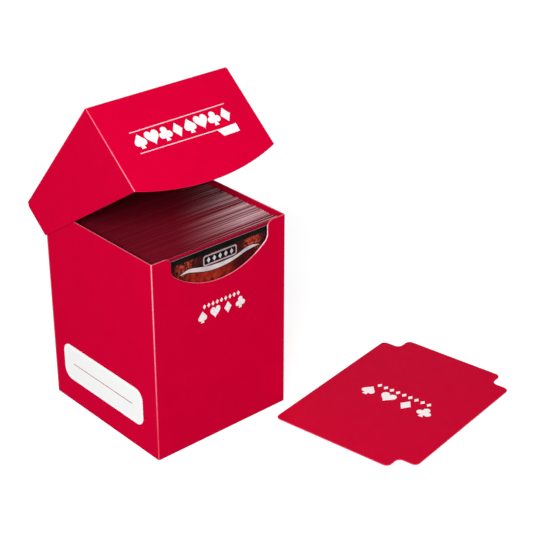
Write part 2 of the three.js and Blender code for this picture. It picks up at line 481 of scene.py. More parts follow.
class Shader(Nodes):
    """A material's node tree, round one Principled shader."""

    def __init__(self, name: str) -> None:
        """Starts a material of this name."""
        self.material = bpy.data.materials.new(name)
        self.material.use_nodes = True
        super().__init__(self.material.node_tree)
        self.tree.nodes.clear()
        output = self.add("ShaderNodeOutputMaterial")
        self.surface = self.add("ShaderNodeBsdfPrincipled")
        self.feed(output.inputs["Surface"], self.surface.outputs[0])
        self.place = self.add("ShaderNodeTexCoord").outputs["Object"]

    def noise(self, size: float, detail: float = 2.0, stretch: Point | None = None
              ) -> bpy.types.NodeSocket:
        """Noise with features of a given size.

        Args:
            size: feature size in millimetres.
            detail: octaves.
            stretch: scale along x and z, for a streaked pattern.

        Returns:
            Its value, about 0.5.
        """
        vector: object = self.place
        if stretch:
            vector = self.add("ShaderNodeMapping", {
                "Vector": self.place, "Scale": (stretch[0], 1.0, stretch[1])}).outputs[0]
        return self.add("ShaderNodeTexNoise", {
            "Vector": vector, "Scale": 1 / (size * METRES), "Detail": detail}).outputs[0]

    def ramp(self, value: object, low: float, high: float, to_low: float = 0.0,
             to_high: float = 1.0) -> bpy.types.NodeSocket:
        """Maps a range of values to another, and clamps it."""
        return self.add("ShaderNodeMapRange", {
            "Value": value, "From Min": low, "From Max": high, "To Min": to_low,
            "To Max": to_high}).outputs[0]

    def mix(self, factor: object, first: object, second: object) -> bpy.types.NodeSocket:
        """A mix of two colours."""
        return self.add("ShaderNodeMix", {"Factor": factor, 6: first, 7: second},
                        data_type="RGBA").outputs[2]

    def attribute(self, name: str) -> bpy.types.NodeSocket:
        """The value of a mesh attribute."""
        return self.add("ShaderNodeAttribute", attribute_name=name).outputs["Fac"]

    def bump(self, height: object, depth: float) -> None:
        """Adds relief of a depth in millimetres."""
        self.set(Normal=self.add("ShaderNodeBump", {
            "Height": height, "Strength": 1.0, "Distance": depth * METRES}).outputs[0])

    def set(self, **values: object) -> None:
        """Sets the shader's own sockets, with underscores for spaces in their names."""
        for key, value in values.items():
            self.feed(self.surface.inputs[key.replace("_", " ")], value)


@dataclass(frozen=True)
class SheetFinish:
    """Matte polypropylene sheet: fine grain and faint mottling. It is paler where it is cut or creased,
    partly the sheet's own pale cut edges and stress whitening and partly a painted highlight, and its inner
    side is darker as painted shade.
    """

    name: str
    colour: Colour
    shade: Colour
    crease_white_and_highlight: Colour
    cut: Colour
    # the inner side's colour: darker than the outside as painted shade inside the box
    inner: Colour
    gloss: float = 0.008
    grain: float = 0.55
    relief: float = 0.006

    def material(self) -> bpy.types.Material:
        """Builds the material."""
        s = Shader(self.name)
        mottle = s.ramp(s.noise(9.0, 3.0), 0.3, 0.7)
        outer = s.mix(mottle, self.shade, self.colour)
        # The inner side takes a darker colour: painted shade.
        body = s.mix(s.attribute(INSIDE_LAYER), outer, self.inner)
        patchy = s.noise(1.6, 3.0)
        crease = s.maths("MULTIPLY", s.attribute(CREASE_LAYER), s.ramp(patchy, 0.3, 0.6, 0.8, 1.0))
        # Cut edges are paler: partly the sheet's own pale edge, partly a painted highlight.
        edge = s.maths("MULTIPLY", s.attribute(CUT_LAYER), s.ramp(patchy, 0.25, 0.6, 0.55, 1.0))
        # Creases are whiter: partly stress whitening, partly a painted highlight along the folds.
        creased = s.mix(crease, body, self.crease_white_and_highlight)
        s.set(Base_Color=s.mix(edge, creased, self.cut), Specular_IOR_Level=self.gloss,
              Roughness=s.ramp(s.noise(2.2, 4.0), 0.3, 0.7, 0.5, 0.62))
        fine = s.noise(self.grain, 2.0)
        s.bump(s.maths("ADD", fine, s.maths("MULTIPLY", s.noise(14.0, 1.0), 1.5)), self.relief)
        return s.material


@dataclass(frozen=True)
class InkFinish:
    """Screen-printed ink, a little uneven where it covers the grain."""

    name: str
    colour: Colour
    thin: Colour

    def material(self) -> bpy.types.Material:
        """Builds the material."""
        s = Shader(self.name)
        cover = s.ramp(s.noise(0.7, 3.0), 0.25, 0.5)
        s.set(Base_Color=s.mix(cover, self.thin, self.colour), Specular_IOR_Level=0.2,
              Roughness=s.ramp(s.noise(1.2, 2.0), 0.3, 0.7, 0.4, 0.6))
        s.bump(s.noise(0.4, 2.0), 0.004)
        return s.material


@dataclass(frozen=True)
class PaperFinish:
    """Coated paper or card with a fibre grain."""

    name: str
    colour: Colour
    shade: Colour
    roughness: float = 0.6
    fibre: float = 0.5

    def material(self) -> bpy.types.Material:
        """Builds the material."""
        s = Shader(self.name)
        cloud = s.ramp(s.noise(5.0, 4.0), 0.35, 0.65)
        s.set(Base_Color=s.mix(cloud, self.shade, self.colour), Specular_IOR_Level=0.06,
              Roughness=s.ramp(s.noise(1.5, 3.0), 0.3, 0.7, self.roughness - 0.08,
                               self.roughness + 0.08))
        s.bump(s.noise(self.fibre, 4.0), 0.005)
        return s.material


@dataclass(frozen=True)
class SleeveFinish:
    """Card sleeve film. Its edges are paler towards the front and right, a painted reflection of the bright
    studio, and darker towards the back, painted shade under the lid.
    """

    name: str
    deep: Colour
    pale_tone_and_sheen: Colour
    lit: Colour

    def material(self) -> bpy.types.Material:
        """Builds the material."""
        s = Shader(self.name)
        axes = s.add("ShaderNodeSeparateXYZ", {0: s.place}).outputs
        # A painted reflection that grows towards the front and right of the deck.
        back = s.maths("MULTIPLY", s.maths("ADD", axes["Y"], 0.038), 0.75)
        across = s.maths("SUBTRACT", axes["X"], back)
        glare_side = s.maths("POWER", s.ramp(across, -0.026, 0.015, 0.0, 0.95), 2.2)
        streak = s.ramp(s.noise(1.5, 3.0, (0.05, 1.0)), 0.3, 0.7, 0.6, 1.0)
        bundle = s.noise(1.7, 2.0, (0.02, 0.2))
        random, edge = s.attribute("tint"), s.attribute("film")
        tint = s.ramp(s.maths("ADD", s.maths("MULTIPLY", random, 0.7), bundle), 0.62, 0.9)
        painted_glare = s.maths("MULTIPLY", s.maths("MULTIPLY", glare_side, streak),
                        s.maths("MULTIPLY", tint, edge))
        # Film edges paler towards the front and darker at the back: random tone with painted light, and
        # painted shade under the lid.
        front_light_and_tone = s.maths("MULTIPLY", s.ramp(axes["Y"], 0.012, -0.034, 0.52, 0.98),
                       s.ramp(random, 0.0, 1.0, 0.8, 1.0))
        film = s.mix(s.maths("MULTIPLY", edge, front_light_and_tone), self.deep, self.pale_tone_and_sheen)
        s.set(Base_Color=s.mix(painted_glare, film, self.lit), Specular_IOR_Level=0.05,
              Roughness=s.ramp(s.noise(3.0, 3.0), 0.3, 0.7, 0.28, 0.45))
        s.bump(s.noise(2.5, 2.0, (0.3, 1.0)), 0.01)
        return s.material


@dataclass(frozen=True)
class ArtFinish:
    """A printed card face: blotches of two colours, with bright ones that gather round one place.

    Centre and reach say where along x the bright ones gather, and paired repeats it on both sides.
    """

    name: str
    dark: Colour
    middle: Colour
    bright: Colour
    blotch: float
    centre: float
    reach: float
    paired: bool = False
    stretch: Point | None = None

    def material(self) -> bpy.types.Material:
        """Builds the material."""
        s = Shader(self.name)
        wide = s.ramp(s.noise(self.blotch, 4.0, self.stretch), 0.38, 0.62)
        spark = s.ramp(s.noise(self.blotch * 0.45, 5.0, self.stretch), 0.45, 0.7)
        across = s.add("ShaderNodeSeparateXYZ", {0: s.place}).outputs["X"]
        if self.paired:
            across = s.maths("ABSOLUTE", across)
        off = s.maths("ABSOLUTE", s.maths("SUBTRACT", across, self.centre * METRES))
        near = s.ramp(off, self.reach * METRES, 0.0)
        base = s.mix(s.maths("MULTIPLY", wide, s.ramp(near, 0.1, 0.7, 0.2, 1.0)), self.dark,
                     self.middle)
        s.set(Base_Color=s.mix(s.maths("MULTIPLY", spark, near), base, self.bright),
              Specular_IOR_Level=0.1,
              Roughness=s.ramp(s.noise(0.8, 2.0), 0.3, 0.7, 0.3, 0.45))
        s.bump(s.noise(0.5, 2.0), 0.004)
        return s.material


@dataclass(frozen=True)
class FilmFinish:
    """Clear sleeve film with faint rubbing."""

    name: str
    tint: Colour
    rubbed: Colour

    def material(self) -> bpy.types.Material:
        """Builds the material."""
        s = Shader(self.name)
        patchy = s.noise(6.0, 5.0)
        s.set(Base_Color=s.mix(s.ramp(patchy, 0.3, 0.7), self.tint, self.rubbed),
              Alpha=s.ramp(patchy, 0.3, 0.75, 0.01, 0.03), Specular_IOR_Level=0.1,
              Roughness=s.ramp(patchy, 0.3, 0.7, 0.12, 0.25))
        s.bump(s.noise(7.0, 2.0), 0.01)
        return s.material


@dataclass(frozen=True)
class FloorFinish:
    """A plain pale studio floor that stays near white under soft light."""

    name: str = "studio_floor"
    glow: float = 0.72

    def material(self) -> bpy.types.Material:
        """Builds the material."""
        s = Shader(self.name)
        s.set(Base_Color=(0.5, 0.5, 0.5, 1.0), Roughness=0.9, Specular_IOR_Level=0.0,
              Emission_Color=(1.0, 1.0, 1.0, 1.0), Emission_Strength=self.glow)
        return s.material


@dataclass(frozen=True)
class Finishes:
    """Every finish of the box, its cards and the divider."""

    # Each sheet's last colour is its inner side: darker than the outside on the case, lid and divider, as
    # painted shade.
    case: SheetFinish = SheetFinish("case_sheet", srgb(209, 0, 51), srgb(204, 0, 50),
                                    srgb(255, 190, 206), srgb(255, 214, 224), srgb(184, 0, 42))
    lid: SheetFinish = SheetFinish("lid_sheet", srgb(213, 0, 52), srgb(208, 0, 51),
                                   srgb(255, 180, 198), srgb(232, 30, 72), srgb(204, 0, 48))
    divider: SheetFinish = SheetFinish("divider_sheet", srgb(203, 0, 48), srgb(199, 0, 47),
                                       srgb(255, 170, 190), srgb(244, 96, 128), srgb(200, 0, 46))
    ink: InkFinish = InkFinish("white_ink", srgb(246, 246, 246), srgb(246, 205, 214))
    rule: InkFinish = InkFinish("thin_rule_ink", srgb(246, 214, 222), srgb(238, 160, 178))
    label: PaperFinish = PaperFinish("label_border", srgb(255, 255, 255), srgb(253, 253, 253), 0.5)
    field: PaperFinish = PaperFinish("label_field", srgb(250, 250, 249), srgb(247, 248, 247), 0.75)
    label_rule: InkFinish = InkFinish("label_rule_ink", srgb(172, 84, 98), srgb(200, 150, 158))
    # The sleeve film: its dark colour, its paler edge tone with painted sheen, and the colour of the painted
    # glare.
    sleeve: SleeveFinish = SleeveFinish("sleeve_film", srgb(70, 0, 12), srgb(147, 29, 47),
                                        srgb(255, 222, 228))
    back_film: SheetFinish = SheetFinish("sleeve_back_film", srgb(158, 16, 44), srgb(146, 14, 42),
                                         srgb(230, 120, 140), srgb(228, 130, 150),
                                         srgb(160, 8, 40))
    clear: FilmFinish = FilmFinish("clear_film", srgb(60, 16, 26), srgb(120, 60, 72))
    # A pale line along the sleeve film's top edge: a painted highlight where the edge catches the light.
    lip_highlight: InkFinish = InkFinish("film_lip_highlight", srgb(176, 112, 120), srgb(140, 76, 86))
    black: PaperFinish = PaperFinish("card_border", srgb(10, 26, 22), srgb(4, 14, 12), 0.5)
    frame_print: ArtFinish = ArtFinish("card_frame_print", srgb(30, 12, 14), srgb(136, 24, 30),
                                       srgb(255, 104, 66), 2.2, 18.5, 6.5, True)
    art: ArtFinish = ArtFinish("card_art_print", srgb(44, 4, 9), srgb(150, 26, 20),
                               srgb(196, 66, 26), 7.0, -8.0, 19.0, False, (1.0, 0.8))
    silver: PaperFinish = PaperFinish("silver_print", srgb(228, 216, 216), srgb(200, 186, 188),
                                      0.35)
    grey: PaperFinish = PaperFinish("grey_print", srgb(206, 178, 182), srgb(176, 150, 156), 0.4)


FINISHES = Finishes()


# ---------------------------------------------------------------- the case


@dataclass
class CaseWalls:
    """The case's walls, one sheet folded round three corners, with the thumb notch in its front."""

    width: float = 74.5
    depth: float = 77.9
    height: float = 97.0
    back_height: float = 81.9
    sheet: float = 0.6
    fold: float = 0.36
    notch_half_width: float = 26.9
    notch_lowest: float = 78.15
    notch_arc: float = 39.4
    notch_fillet: float = 4.5
    notch_rim: float = 3.0
    extra_lines: tuple[float, ...] = (12.0, 30.0, 50.0, 70.0)
    crease_from: float = 12.0
    crease_full: float = 74.0
    # how white the cut edges are; the rise towards the notch's right side is a painted highlight
    wall_edge_white: float = 0.2
    rim_edge_white: float = 0.26
    notch_edge_white: float = 0.34
    mark_height: float = 64.3
    mark_size: Point = (26.6, 8.8)

    def path(self) -> FoldPath:
        """The walls' middle surface in plan, from the left side's back edge round to the back."""
        x = (self.width - self.sheet) / 2
        y = (self.depth - self.sheet) / 2
        back = self.depth / 2 - self.sheet - 0.1
        runs = [back + y, 2 * x, 2 * y, x + self.width / 2]
        return FoldPath((-x, back), (0, -1), runs, 1, self.fold)

    def notch(self, middle: float) -> list[Point]:
        """The notch's cut, from right to left along the rim.

        Args:
            middle: where the front's middle is along the path.

        Returns:
            The points, in the sheet's flat plane.
        """
        centre = self.notch_lowest + self.notch_arc
        fillet_x = self.notch_half_width - self.notch_fillet
        reach = self.notch_arc - self.notch_fillet
        fillet_z = centre - math.sqrt(reach ** 2 - fillet_x ** 2)
        meeting = math.atan2(fillet_z - centre, fillet_x)
        rim_x = self.notch_half_width + self.notch_rim
        rim_z = self.height - self.notch_rim
        right = arc(rim_x, rim_z, self.notch_rim, math.pi / 2, math.pi, 8)
        right += arc(fillet_x, fillet_z, self.notch_fillet, 0, meeting, 10)
        right += arc(0, centre, self.notch_arc, meeting, -math.pi / 2, 16)[1:]
        left = [(-x, z) for x, z in reversed(right[:-1])]
        return [(middle + x, z) for x, z in right + left]

    def crease(self, path: FoldPath, u: float, z: float) -> float:
        """How white a corner's crease is: most at the top, least near the table. The whiteness is partly the
        sheet's stress whitening and partly a painted highlight along the fold.
        """
        up = (z - self.crease_from) / (self.crease_full - self.crease_from)
        return path.crease(u) ** 2.8 * (0.2 + 0.8 * min(1.0, max(0.0, up)))

    def edge_whiteness(self, x: float, z: float) -> float:
        """How white a cut edge is at x from the front's middle: most at the notch's right side, which faces
        the key light. The pale cut edge is partly the sheet's own and partly a painted highlight, most of
        all on that side.
        """
        if z < self.notch_lowest - 1 or abs(x) > self.width / 2:
            return self.wall_edge_white
        if abs(x) > self.notch_half_width + 0.1:
            return self.rim_edge_white
        right = min(1.0, max(0.0, x / self.notch_half_width - 0.66) / 0.22)
        return self.notch_edge_white + (1 - self.notch_edge_white) * right

    def build(self) -> None:
        """Makes the walls."""
        path = self.path()
        folds = path.bends()
        middle = (folds[0][1] + folds[1][0]) / 2
        step = folds[2][0] - 0.04
        outline = [(0.0, 0.0), (path.length, 0.0), (path.length, self.back_height),
                   (step, self.back_height), (step, self.height)]
        outline += self.notch(middle) + [(0.0, self.height)]
        bm = plate(outline, self.sheet)
        split(bm, path.lines(), 0)
        split(bm, self.extra_lines, 1)

        def place(u: float, v: float, w: float) -> Vector:
            """From the flat sheet to the folded wall."""
            x, y = path.place(u, w)
            return Vector((x, y, v))

        cut = bm.verts.layers.float[CUT_LAYER]
        for vert in bm.verts:
            vert[cut] *= self.edge_whiteness(vert.co.x - middle, vert.co.y)
        bend(bm, place, lambda u, v: self.crease(path, u, v))
        piece = make_piece("case_walls", bm, FINISHES.case.material())
        hand_over(piece, "case", "case_plastic",
                  ["front_panel", "left_side_panel", "right_side_panel", "back_panel"])

    def build_print(self) -> None:
        """Makes the printed mark on the front."""
        face = upright(-self.depth / 2, self.mark_height)
        Print("front_mark", face, "case", "case_plastic").build(
            suit_mark(*self.mark_size), FINISHES.ink.material())


@dataclass
class CaseLinings:
    """The sheets inside the walls: the second back layer, the bottom and its glued flaps."""

    sheet: float = 0.6
    corner: float = 0.8
    play: float = 0.05
    clear_below: float = 0.03
    flaps: tuple[str, ...] = ("bottom_left_flap", "bottom_right_flap", "bottom_glue_flap")

    def flat(self, name: str, points: Sequence[Point], matrix: Matrix) -> None:
        """Makes one flat sheet that stands for the node of the same name.

        Args:
            name: the node's name.
            points: its outline.
            matrix: from its drawing to its place.
        """
        piece = make_piece(name + "_sheet", plate(points, self.sheet), FINISHES.case.material(),
                           matrix)
        hand_over(piece, "case", "case_plastic", [name])

    def build(self) -> None:
        """Makes the linings, and dresses the flaps, whose shape is the frame's own."""
        low, high = (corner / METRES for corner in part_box("inner_back_panel"))
        self.flat("inner_back_panel", rectangle(low.x, low.z, high.x, high.z, self.corner),
                  upright((low.y + high.y) / 2))
        low, high = (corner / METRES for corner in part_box("bottom_panel"))
        margin = self.sheet + self.play
        outline = rectangle(low.x + margin, low.y + margin, high.x - margin, high.y - margin,
                            self.corner)
        self.flat("bottom_panel", outline,
                  Matrix.Translation((0, 0, high.z / 2 + self.clear_below)))
        finish = FINISHES.case.material()
        for name in self.flaps:
            dress(name, finish)


def dress(node: str, material: bpy.types.Material) -> None:
    """Gives a CAD node that stays visible a new finish."""
    for slot in frame["nodes"][node].material_slots:
        slot.material = material


@dataclass
class WriteOnLabel:
    """The write-on sticker low on the left side: a white border, a matte field and one rule."""

    border: float = 1.4
    corner: float = 5.0
    rule_start: float = -20.95
    rule_end: float = 23.7
    rule_height: float = 21.3
    rule_width: float = 0.42
    paper: float = 0.08
    ink: float = 0.02

    def layer(self, name: str, points: Sequence[Point], thickness: float, face: float,
              material: bpy.types.Material, edge: Edge = Edge.FINE) -> bpy.types.Object:
        """One layer of the sticker.

        Args:
            name: the piece's name.
            points: outline, y and z.
            thickness: its thickness.
            face: x of the layer's back.
            material: its finish.
            edge: its cut edge.

        Returns:
            The piece.
        """
        bm = plate([(-y, z) for y, z in reversed(points)], thickness, edge)
        facing_left = Matrix(((0, 0, -1, face - thickness / 2), (-1, 0, 0, 0), (0, 1, 0, 0),
                              (0, 0, 0, 1)))
        return make_piece(name, bm, material, facing_left)

    def build(self) -> None:
        """Makes the border, the field and the rule."""
        low, high = (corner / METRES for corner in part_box("write_on_label"))
        wall, b = high.x, self.border
        sticker = self.layer("label_sticker", rectangle(low.y, low.z, high.y, high.z, self.corner),
                             self.paper, wall, FINISHES.label.material())
        hand_over(sticker, "case", "label", ["write_on_label"])
        inner = rectangle(low.y + b, low.z + b, high.y - b, high.z - b, self.corner - b)
        area = self.layer("label_field", inner, self.ink, wall - self.paper,
                          FINISHES.field.material(), Edge.SHARP)
        hand_over(area, "case", "label")
        half = self.rule_width / 2
        line = rectangle(self.rule_start, self.rule_height - half, self.rule_end,
                         self.rule_height + half)
        rule = self.layer("label_rule", line, self.ink / 2, wall - self.paper - self.ink,
                          FINISHES.label_rule.material(), Edge.SHARP)
        hand_over(rule, "case", "label")


# ---------------------------------------------------------------- printed marks


class Pip(Enum):
    """The plain shapes that the prints are made of."""

    DIAMOND = "diamond"
    HEART = "heart"
    SPADE = "spade"
    CLUB = "club"


def heart(samples: int = 40) -> list[Point]:
    """A heart about one unit high and wide, anticlockwise."""
    points = []
    for i in range(samples):
        t = -2 * math.pi * i / samples
        x = 16 * math.sin(t) ** 3
        y = 13 * math.cos(t) - 5 * math.cos(2 * t) - 2 * math.cos(3 * t) - math.cos(4 * t)
        points.append((x / 32, (y + 2.5) / 29))
    return points


def star_union(circles: Sequence[tuple[float, float, float]], stem: Point, samples: int = 72
               ) -> list[Point]:
    """The outline of circles that overlap round the origin, with a flared stem below.

    Args:
        circles: centre x, y and radius of each.
        stem: the stem's half width and its depth below the origin.
        samples: directions looked at.

    Returns:
        The outline, anticlockwise.
    """
    points = []
    for i in range(samples):
        a = 2 * math.pi * (i + 0.5) / samples
        dx, dy = math.cos(a), math.sin(a)
        reach = 0.02
        for x, y, radius in circles:
            along = x * dx + y * dy
            inside = radius ** 2 - (x * x + y * y - along ** 2)
            if inside > 0:
                reach = max(reach, along + math.sqrt(inside))
        if dy < 0 and abs(dx / dy) < stem[0] / stem[1]:
            reach = max(reach, -stem[1] / dy)
        points.append((dx * reach, dy * reach))
    return points


def pip(kind: Pip, x: float, y: float, height: float) -> list[Point]:
    """One pip's outline.

    Args:
        kind: which pip.
        x: its middle, across.
        y: its middle, up.
        height: its height.

    Returns:
        The outline, anticlockwise.
    """
    if kind is Pip.DIAMOND:
        unit = [(0.36, 0.0), (0.0, 0.5), (-0.36, 0.0), (0.0, -0.5)]
    elif kind is Pip.HEART:
        unit = heart()
    elif kind is Pip.SPADE:
        lobes = star_union([(-0.21, -0.08, 0.22), (0.21, -0.08, 0.22), (0.0, 0.02, 0.2)],
                           (0.16, 0.5))
        lobes = [p for p in lobes if not (p[1] > 0.02 and abs(p[0]) < 0.36)]
        unit = sorted((p for p in lobes if p[0] > 0), key=lambda p: math.atan2(p[1], p[0]))
        unit.append((0.0, 0.5))
        unit += sorted((p for p in lobes if p[0] <= 0),
                       key=lambda p: math.atan2(p[1], p[0]) % (2 * math.pi))
    else:
        unit = star_union([(0.0, 0.26, 0.22), (-0.25, -0.08, 0.22), (0.25, -0.08, 0.22),
                           (0.0, 0.04, 0.14)], (0.16, 0.5))
    return [(x + px * height, y + py * height) for px, py in unit]


@dataclass
class Print:
    """Flat ink shapes on one face of a sheet."""

    name: str
    matrix: Matrix
    body: str
    slot: str
    thickness: float = 0.03

    def build(self, shapes: Sequence[Sequence[Point]], material: bpy.types.Material) -> None:
        """Makes the shapes as one piece.

        Args:
            shapes: anticlockwise outlines in the face's plane.
            material: the ink.
        """
        parts = [plate(shape, self.thickness, Edge.SHARP) for shape in shapes]
        lift = self.matrix @ Matrix.Translation((0, 0, self.thickness / 2))
        piece = make_piece(self.name, merged(parts), material, lift)
        hand_over(piece, self.body, self.slot)


def suit_mark(width: float, height: float) -> list[list[Point]]:
    """A plain mark: a row of card suits under a shorter row of small diamonds.

    Args:
        width: its whole width.
        height: its whole height.

    Returns:
        Its outlines, centred on the origin.
    """
    suits = [Pip.SPADE, Pip.HEART, Pip.DIAMOND, Pip.CLUB]
    diamonds = [Pip.DIAMOND] * 9
    large, small = height * 0.64, height * 0.27
    shapes: list[list[Point]] = []
    for kinds, size, reach, level in (
            (suits, large, width / 2 - large * 0.46, (large - height) / 2),
            (diamonds, small, width * 0.36, (height - small) / 2)):
        last = len(kinds) - 1
        shapes += [pip(kind, reach * (2 * i / last - 1), level, size)
                   for i, kind in enumerate(kinds)]
    return shapes


# ---------------------------------------------------------------- the lid


@dataclass
class Lid:
    """The lid, one sheet: back strip, top, front flap and the sides folded back from the flap."""

    half_width: float = 38.0
    depth: float = 79.954
    rise: float = 17.6
    sheet: float = 0.6
    fold: float = 0.36
    side_height: float = 41.6
    front_height: float = 48.0
    free_corner: float = 1.6
    low_corner: float = 0.6
    gap: float = 0.05
    strip_inset: float = 0.65
    strip_corner: float = 1.2
    hinge_half_thickness: float = 0.09
    hinge_crease: float = 0.3
    crease_length: float = 40.0
    extra_lines: tuple[float, ...] = (35.0, 42.0, 50.0, 58.0, 66.0)
    open_degrees: float = 49.9
    datum: float = 60.0  # the flat sheet is measured from this far below the hinge

    def matrix(self) -> Matrix:
        """From the closed lid's own axes, at the hinge, to the open lid's place."""
        hinge = next(j for j in frame["joints"] if j["name"] == "lid_hinge")
        anchor = Vector(hinge["pos_m"]) / METRES
        turn = Matrix.Rotation(-math.radians(self.open_degrees), 4, "X")
        return Matrix.Translation(anchor) @ turn

    def round_path(self) -> FoldPath:
        """The sides and front flap in plan, from the left side's back edge to the right side's."""
        x = self.half_width - self.sheet / 2
        y = self.depth - self.sheet / 2
        return FoldPath((-x, 0.0), (0, -1), [y, 2 * x, y], 1, self.fold)

    def over_path(self) -> FoldPath:
        """The flap, top and back strip from the side, from below the flap to the hinge."""
        y = self.depth - self.sheet / 2
        top = self.rise - self.sheet / 2
        runs = [top + self.datum, y - self.sheet / 2, top - self.gap]
        return FoldPath((-y, -self.datum), (0, 1), runs, -1, self.fold)

    def flap_bottom(self, x: float) -> float:
        """Height of the flap's arched lower edge at x."""
        bulge = self.front_height - self.side_height
        radius = (self.half_width ** 2 + bulge ** 2) / (2 * bulge)
        return self.rise - self.front_height + radius - math.sqrt(radius ** 2 - x * x)

    def outline(self, wing: float, over: FoldPath, middle: float) -> list[Point]:
        """The flat sheet's outline.

        Args:
            wing: how far the flap's flat part reaches from its middle.
            over: the path over the top.
            middle: where the flap's middle is along the path round the front.

        Returns:
            Points with x from the flap's middle and y along the path over the top.
        """
        reach = wing + self.fold * math.pi / 2
        side_low = self.flap_bottom(self.half_width - self.sheet / 2) + self.datum
        side_top = self.rise - self.sheet - self.gap + self.datum
        flap = [(wing * i / 14, self.flap_bottom(wing * i / 14) + self.datum) for i in range(15)]
        right = flap + rounded([
            (reach - 0.4, side_low, 0.0),
            (middle, self.datum + self.gap, self.low_corner),
            (middle, side_top, self.free_corner),
            (wing + 0.15, side_top - 0.05, 0.0),
        ])
        (flap_end, top_start), (top_end, _) = over.bends()
        edge = self.half_width
        back = edge - self.strip_inset
        right += [
            (wing, flap_end - 0.1), (wing - 0.1, flap_end), (wing - 0.1, top_start - 0.1),
            (edge - 0.1, top_start + 0.05), (edge, top_start + 0.2), (edge, top_end - 0.3),
            (back, top_end - 0.1), (back, over.length - self.strip_corner),
            (back - self.strip_corner, over.length),
        ]
        left = [(-x, y) for x, y in reversed(right[1:])]
        return right + left

    def build_shell(self) -> None:
        """Makes the folded shell."""
        around, over = self.round_path(), self.over_path()
        folds = around.bends()
        middle = (folds[0][1] + folds[1][0]) / 2
        wing = middle - folds[0][1]
        bm = plate(self.outline(wing, over, middle), self.sheet)
        split(bm, [line - middle for line in around.lines()], 0)
        split(bm, over.lines(), 1)
        split(bm, self.extra_lines, 1)
        flap_end, top_start = over.bends()[0]

        def on_front(u: float, v: float) -> bool:
            """Whether a flat point is on the flap or one of its sides."""
            return v < flap_end - 0.02 or (abs(u) > wing - 0.05 and v < top_start - 0.3)

        def place(u: float, v: float, w: float) -> Vector:
            """From the flat sheet to the folded, closed lid."""
            if on_front(u, v):
                x, y = around.place(u + middle, w)
                return Vector((x, y, v - self.datum))
            y, z = over.place(v, w)
            return Vector((u, y, z))

        def crease(u: float, v: float) -> float:
            """How white a crease is: the flap's sides most at their lower ends, the top faint. The whiteness
            is partly stress whitening and partly a painted highlight along the folds.
            """
            if on_front(u, v):
                low = min(1.0, max(0.0, (flap_end - v) / self.crease_length))
                return around.crease(u + middle) ** 5.5 * (0.5 + 0.5 * low)
            return over.crease(v) * 0.06

        bend(bm, place, crease)
        piece = make_piece("lid_shell", bm, FINISHES.lid.material(), self.matrix())
        hand_over(piece, "lid", "lid_plastic", ["lid_top_panel", "lid_back_strip", "lid_front_flap",
                                               "lid_left_side", "lid_right_side"])

    def build_tabs(self) -> None:
        """Makes the tabs that are glued under the top."""
        right = rounded([(37.3, -6.0, 0.5), (24.0, -11.0, 2.0), (24.0, -70.35, 2.0),
                         (37.3, -75.35, 0.5)])
        parts = [plate(points, self.sheet) for points in (right, mirrored(right))]
        under_top = Matrix.Translation((0, 0, self.rise - self.sheet * 1.5 - self.gap))
        piece = make_piece("lid_tabs", merged(parts), FINISHES.lid.material(),
                           self.matrix() @ under_top)
        hand_over(piece, "lid", "lid_plastic", ["lid_left_top_tab", "lid_right_top_tab"])

    def face(self) -> Matrix:
        """From a drawing with y up from the lid's top edge, to the flap's outer face."""
        return self.matrix() @ upright(-self.depth, self.rise)

    def build_print(self) -> None:
        """Makes the flap's two rules, its row of pips and its tag."""
        rules = [
            [(-25.5, -16.85), (25.4, -16.75), (25.4, -16.35), (-25.5, -16.45)],
            [(-25.8, -27.0), (15.8, -27.5), (15.8, -27.1), (-25.8, -26.6)],
        ]
        Print("lid_rules", self.face(), "lid", "lid_plastic").build(
            rules, FINISHES.rule.material())
        kinds = [Pip.SPADE, Pip.HEART, Pip.CLUB, Pip.DIAMOND] * 2
        first, last, level, height = -22.8, 23.0, -21.6, 7.0
        shapes = [pip(kind, first + (last - first) * i / (len(kinds) - 1), level, height)
                  for i, kind in enumerate(kinds)]
        tag = [(16.6, -30.9, 0.2), (25.3, -30.8, 0.2), (25.5, -26.8, 0.2), (14.7, -27.3, 0.2)]
        shapes.append(rounded(tag))
        Print("lid_print", self.face(), "lid", "lid_plastic").build(
            shapes, FINISHES.ink.material())

    def build_hinge(self) -> None:
        """Makes the thin living hinge between the back and the lid."""
        low, high = (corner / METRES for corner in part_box("lid_hinge_web"))
        lean = math.radians(self.open_degrees)
        leaning = Vector((0, math.sin(lean), math.cos(lean)))
        hinge = Vector((0, high.y - 0.1, high.z - 0.02))
        run = [Vector((0, hinge.y, low.z - 0.05)), Vector((0, hinge.y, low.z + 0.1)), hinge,
               hinge + leaning * 0.15, hinge + leaning * 0.3]
        half = high.x - 0.1
        bm = bmesh.new()
        crease = bm.verts.layers.float.new(CREASE_LAYER)
        bm.verts.layers.float.new(CUT_LAYER)
        rings = []
        for i, at in enumerate(run):
            along = (run[min(i + 1, len(run) - 1)] - run[max(i - 1, 0)]).normalized()
            out = Vector((0, along.z, -along.y)) * self.hinge_half_thickness
            ring = [bm.verts.new(Vector((x, 0, 0)) + at + side) for x, side in
                    ((-half, out), (-half, -out), (half, -out), (half, out))]
            for vert in ring:
                vert[crease] = self.hinge_crease
            rings.append(ring)
        for lower, upper in zip(rings, rings[1:]):
            for i in range(4):
                j = (i + 1) % 4
                bm.faces.new((lower[i], lower[j], upper[j], upper[i]))
        bm.faces.new(list(reversed(rings[0])))
        bm.faces.new(rings[-1])
        bmesh.ops.recalc_face_normals(bm, faces=bm.faces[:])
        piece = make_piece("living_hinge", bm, FINISHES.case.material())
        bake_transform(piece, "case", "lid", start=tuple(run[1] * METRES), end=tuple(run[3] * METRES))
        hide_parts("lid_hinge_web")

    def build(self) -> None:
        """Makes the whole lid."""
        self.build_shell()
        self.build_tabs()
        self.build_print()
        self.build_hinge()


# ---------------------------------------------------------------- the cards


